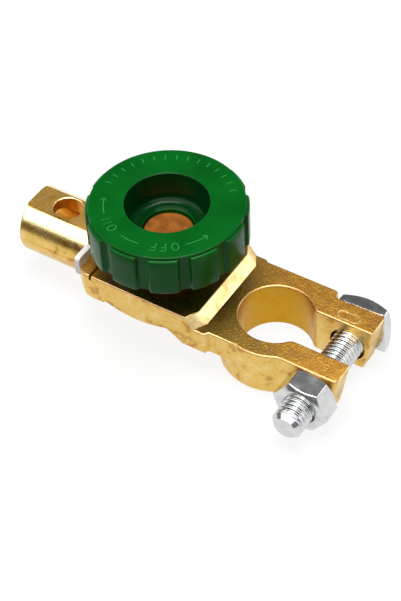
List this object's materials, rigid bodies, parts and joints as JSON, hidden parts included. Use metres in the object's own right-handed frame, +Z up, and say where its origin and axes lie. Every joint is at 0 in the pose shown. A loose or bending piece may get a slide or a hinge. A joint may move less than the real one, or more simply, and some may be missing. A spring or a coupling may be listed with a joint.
{
  "type": "battery terminal disconnect switch",
  "caption": "Post clamp and cable lug in brass, kept apart by a nylon tray and bridged by a contact screw under a lobed green knob.",
  "frame": {"origin": "on the axis of the post bore, at the bottom face of the post collar", "axes": "+Z up along the post bore, +X towards the clamp's jaws, so the cable barrel points to -X"},
  "size_m": [0.0966, 0.0455, 0.0361],
  "materials": {
    "cast_brass": "as cast, lightly tumbled",
    "turned_brass": "turned",
    "green_plastic": "moulded gloss",
    "white_nylon": "moulded satin",
    "zinc_steel": "bright zinc plate"
  },
  "bodies": {
    "castings": {"clamp_casting": "cast_brass", "lug_casting": "cast_brass", "insulator": "white_nylon", "screw_bush": "white_nylon", "fixing_screw_front": "zinc_steel", "fixing_sleeve_front": "white_nylon", "fixing_washer_front": "zinc_steel", "fixing_screw_rear": "zinc_steel", "fixing_sleeve_rear": "white_nylon", "fixing_washer_rear": "zinc_steel"},
    "contact_screw": {"contact_screw": "turned_brass"},
    "knob": {"knob": "green_plastic"},
    "clamp_bolt": {"clamp_bolt": "zinc_steel"},
    "clamp_nut": {"clamp_nut": "zinc_steel"}
  },
  "joints": [
    {"name": "knob_lift", "type": "slide", "parent": "castings", "child": "contact_screw", "axis": [0, 0, 1], "range_m": [0, 0.0045]},
    {"name": "knob_turn", "type": "hinge", "parent": "contact_screw", "child": "knob", "pos_m": [-0.0305, 0, 0.036], "axis": [0, 0, 1], "range_deg": [0, 1081]},
    {"name": "clamp_bolt_slide", "type": "slide", "parent": "castings", "child": "clamp_bolt", "axis": [0, 1, 0], "range_m": [0, 0.005]},
    {"name": "clamp_nut_turn", "type": "hinge", "parent": "castings", "child": "clamp_nut", "pos_m": [0.0171, -0.01565, 0.0067], "axis": [0, -1, 0], "range_deg": [0, 1441]}
  ],
  "couplings": [
    {"joint": "knob_turn", "follows": "knob_lift", "rad_per_m": 4188.8},
    {"joint": "clamp_nut_turn", "follows": "clamp_bolt_slide", "rad_per_m": 5026.5}
  ]
}
